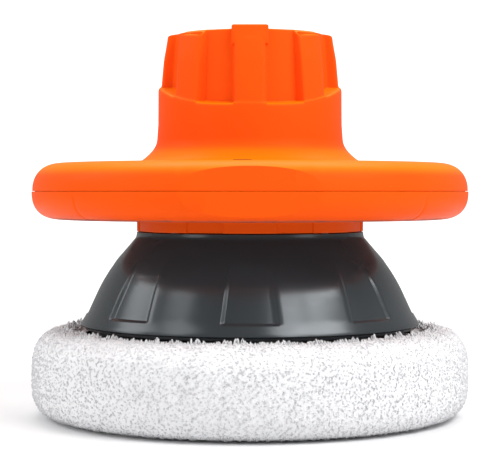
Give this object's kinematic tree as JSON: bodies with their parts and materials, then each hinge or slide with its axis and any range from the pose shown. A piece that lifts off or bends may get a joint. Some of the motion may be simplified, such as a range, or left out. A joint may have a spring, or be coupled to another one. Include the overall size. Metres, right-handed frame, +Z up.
{
  "type": "random-orbit polisher",
  "caption": "Palm-held random-orbit polisher: round two-hand ring, fluted motor dome, bell skirt and a terry bonnet on an orbiting pad.",
  "frame": {"origin": "on the motor's axis, in the plane of the bonnet's flat work face", "axes": "+Z up along the motor's axis, -Y towards the front with the rocker switch, +Y towards the mains inlet, +X to the right of someone who looks at the front"},
  "size_m": [0.196, 0.1979, 0.1717],
  "materials": {
    "orange_plastic": "satin moulded ABS",
    "black_plastic": "semi-gloss moulded ABS",
    "black_rubber": "matt",
    "black_nylon": "moulded glass-filled nylon",
    "nylon": "moulded",
    "zinc_casting": "as cast",
    "plated_steel": "zinc plated",
    "bearing_steel": "ground",
    "spring_steel": "drawn wire",
    "screw_steel": "zinc plated",
    "sintered_bronze": "sintered",
    "brass": "pressed sheet",
    "copper": "enamelled wire and bar",
    "ferrite": "sintered ferrite",
    "carbon": "moulded carbon",
    "foam": "open-cell foam",
    "terry": "looped cotton terry",
    "elastic": "braided elastic",
    "switch_black": "moulded nylon",
    "board": "lacquered laminate",
    "capacitor_yellow": "cast resin case",
    "red_lead": "PVC insulation",
    "blue_lead": "PVC insulation"
  },
  "bodies": {
    "housing": {"upper_housing": "orange_plastic", "lower_housing": "orange_plastic", "bell_skirt": "black_plastic", "cord_inlet": "black_rubber", "cord_clamp": "nylon", "motor_bracket": "zinc_casting", "motor_can": "plated_steel", "motor_end_cap": "nylon", "upper_bearing": "sintered_bronze", "lower_bearing_outer": "bearing_steel", "magnet_right": "ferrite", "magnet_left": "ferrite", "brush_holder_right": "brass", "brush_holder_left": "brass", "carbon_brush_right": "carbon", "carbon_brush_left": "carbon", "brush_spring_right": "spring_steel", "brush_spring_left": "spring_steel", "switch_body": "switch_black", "circuit_board": "board", "capacitor": "capacitor_yellow", "rectifier": "carbon", "lead_live": "red_lead", "lead_switched": "red_lead", "lead_motor_left": "blue_lead", "lead_motor_right": "blue_lead", "housing_screw_1": "screw_steel", "housing_screw_2": "screw_steel", "housing_screw_3": "screw_steel", "housing_screw_4": "screw_steel", "housing_screw_5": "screw_steel", "housing_screw_6": "screw_steel", "skirt_screw_1": "screw_steel", "skirt_screw_2": "screw_steel", "skirt_screw_3": "screw_steel", "skirt_screw_4": "screw_steel", "bracket_screw_1": "screw_steel", "bracket_screw_2": "screw_steel", "bracket_screw_3": "screw_steel", "clamp_screw_1": "screw_steel", "clamp_screw_2": "screw_steel"},
    "rotor": {"motor_shaft": "bearing_steel", "armature_core": "plated_steel", "armature_winding": "copper", "commutator": "copper", "lower_bearing_inner": "bearing_steel", "cooling_fan": "black_nylon", "eccentric_hub": "zinc_casting", "counterweight": "plated_steel", "orbit_bearing_outer": "bearing_steel", "orbit_bearing_cage": "bearing_steel"},
    "pad": {"orbit_bearing_inner": "bearing_steel", "pad_spindle": "plated_steel", "spindle_clip": "spring_steel", "backing_plate": "black_nylon", "pad_bolt": "plated_steel", "foam_pad": "foam", "bonnet": "terry", "bonnet_elastic": "elastic"},
    "switch_rocker": {"switch_rocker": "switch_black"}
  },
  "joints": [
    {"name": "motor_spin", "type": "hinge", "parent": "housing", "child": "rotor", "pos_m": [0, 0, 0.1], "axis": [0, 0, 1], "continuous": true},
    {"name": "pad_spin", "type": "hinge", "parent": "rotor", "child": "pad", "pos_m": [0, -0.004, 0.057], "axis": [0, 0, 1], "continuous": true},
    {"name": "switch_rock", "type": "hinge", "parent": "housing", "child": "switch_rocker", "pos_m": [0, -0.066, 0.1104], "axis": [0, -1, 0], "range_deg": [0, 16]}
  ]
}
